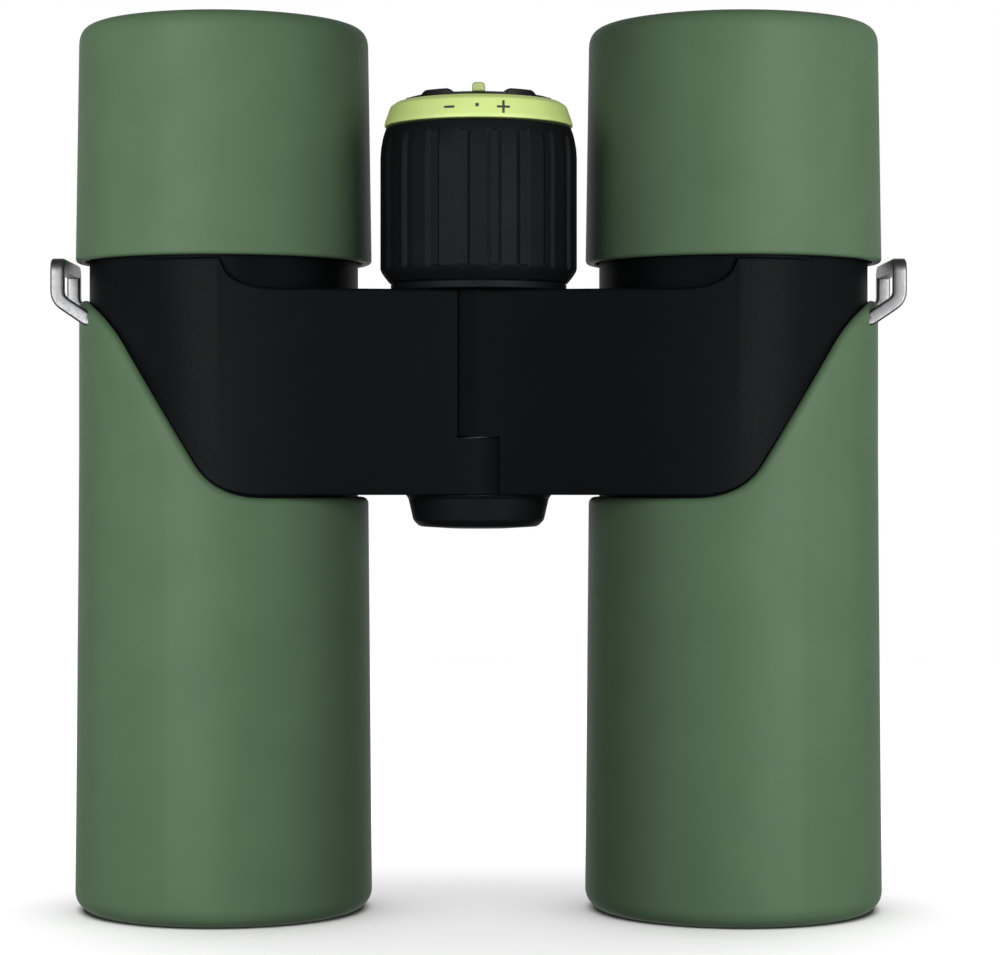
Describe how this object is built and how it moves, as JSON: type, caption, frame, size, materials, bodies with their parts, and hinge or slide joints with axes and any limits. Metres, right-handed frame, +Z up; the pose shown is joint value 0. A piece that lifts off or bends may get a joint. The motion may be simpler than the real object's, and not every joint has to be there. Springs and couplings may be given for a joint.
{
  "type": "binoculars",
  "caption": "Compact handheld roof-prism binoculars with a folding centre hinge, focusing wheel, dioptre dial, twist-up eyecups and strap lugs.",
  "frame": {"origin": "on the floor, midway between the two barrel axes, below the objective rims", "axes": "+Z up along the barrels towards the eyecups, +X towards the right barrel, -Y towards the hinge and focusing wheel side"},
  "size_m": [0.1136, 0.04, 0.119],
  "materials": {
    "armour_rubber": "smooth matt moulded rubber, green",
    "body_black": "black satin coating",
    "inner_black": "matt black anodised",
    "grip_rubber": "black rubber, fluted",
    "scale_lime": "pale lime plastic",
    "dial_black": "black plastic",
    "lug_steel": "polished stainless steel",
    "bush_brass": "machined brass",
    "seal_rubber": "black seal rubber",
    "lens_glass": "coated optical glass"
  },
  "bodies": {
    "right_half": {"right_armour": "armour_rubber", "right_bridge": "body_black", "right_strap_lug": "lug_steel", "right_barrel_tube": "body_black", "right_objective_ring": "inner_black", "right_objective_lens": "lens_glass", "right_objective_seal": "seal_rubber", "right_prism_cage": "inner_black", "right_lower_prism": "lens_glass", "right_upper_prism": "lens_glass", "right_prism_clip": "lug_steel", "right_eyepiece_tube": "inner_black", "right_field_lens": "lens_glass", "right_eye_lens": "lens_glass", "right_eyepiece_ring": "inner_black", "hinge_tube": "lug_steel", "spring_washer": "lug_steel", "lock_nut": "lug_steel", "end_cap": "body_black", "bearing_collar": "body_black"},
    "left_half": {"left_armour": "armour_rubber", "left_bridge": "body_black", "left_strap_lug": "lug_steel", "left_barrel_tube": "body_black", "left_objective_ring": "inner_black", "left_objective_lens": "lens_glass", "left_objective_seal": "seal_rubber", "left_prism_cage": "inner_black", "left_lower_prism": "lens_glass", "left_upper_prism": "lens_glass", "left_prism_clip": "lug_steel", "left_eyepiece_tube": "inner_black", "left_field_lens": "lens_glass", "left_eye_lens": "lens_glass", "left_eyepiece_ring": "inner_black", "hinge_bush": "bush_brass"},
    "focus_wheel": {"wheel_hub": "body_black", "wheel_grip": "grip_rubber", "scale_ring": "scale_lime", "focus_spindle": "lug_steel", "hub_screw_1": "lug_steel", "hub_screw_2": "lug_steel", "hub_screw_3": "lug_steel", "detent_spring": "lug_steel"},
    "dial": {"diopter_dial": "dial_black", "diopter_pointer": "scale_lime", "diopter_shaft": "lug_steel"},
    "focus_nut": {"focus_nut": "bush_brass"},
    "right_carriage": {"diopter_collar": "bush_brass", "right_focus_carriage": "inner_black", "right_focus_lens": "lens_glass"},
    "left_carriage": {"left_focus_carriage": "inner_black", "left_focus_lens": "lens_glass"},
    "left_eyecup_carrier": {"left_eyecup_carrier": "inner_black"},
    "left_eyecup": {"left_eyecup": "armour_rubber"},
    "right_eyecup_carrier": {"right_eyecup_carrier": "inner_black"},
    "right_eyecup": {"right_eyecup": "armour_rubber"}
  },
  "joints": [
    {"name": "hinge", "type": "hinge", "parent": "right_half", "child": "left_half", "pos_m": [0, -0.0069, 0], "axis": [0, 0, 1], "range_deg": [-51.5, 15]},
    {"name": "focus_turn", "type": "hinge", "parent": "right_half", "child": "focus_wheel", "pos_m": [0, -0.0069, 0], "axis": [0, 0, 1], "range_deg": [0, 400]},
    {"name": "diopter_turn", "type": "hinge", "parent": "focus_wheel", "child": "dial", "pos_m": [0, -0.0069, 0], "axis": [0, 0, 1], "range_deg": [-35, 35]},
    {"name": "focus_nut_slide", "type": "slide", "parent": "right_half", "child": "focus_nut", "axis": [0, 0, 1], "range_m": [0, 0.0028]},
    {"name": "left_carriage_slide", "type": "slide", "parent": "left_half", "child": "left_carriage", "axis": [0, 0, 1], "range_m": [0, 0.0028]},
    {"name": "right_carriage_slide", "type": "slide", "parent": "focus_nut", "child": "right_carriage", "axis": [0, 0, 1], "range_m": [-0.0006, 0.0006]},
    {"name": "left_eyecup_rise", "type": "slide", "parent": "left_half", "child": "left_eyecup_carrier", "axis": [0, 0, 1], "range_m": [0, 0.007]},
    {"name": "left_eyecup_turn", "type": "hinge", "parent": "left_eyecup_carrier", "child": "left_eyecup", "pos_m": [-0.03445, 0, 0], "axis": [0, 0, 1], "range_deg": [0, 120]},
    {"name": "right_eyecup_rise", "type": "slide", "parent": "right_half", "child": "right_eyecup_carrier", "axis": [0, 0, 1], "range_m": [0, 0.007]},
    {"name": "right_eyecup_turn", "type": "hinge", "parent": "right_eyecup_carrier", "child": "right_eyecup", "pos_m": [0.03445, 0, 0], "axis": [0, 0, 1], "range_deg": [0, 120]}
  ],
  "couplings": [
    {"joint": "focus_turn", "follows": "focus_nut_slide", "rad_per_m": 2493.3},
    {"joint": "left_carriage_slide", "follows": "focus_nut_slide", "ratio": 1},
    {"joint": "diopter_turn", "follows": "right_carriage_slide", "rad_per_m": 1018.1},
    {"joint": "left_eyecup_turn", "follows": "left_eyecup_rise", "rad_per_m": 299.2},
    {"joint": "right_eyecup_turn", "follows": "right_eyecup_rise", "rad_per_m": 299.2}
  ]
}
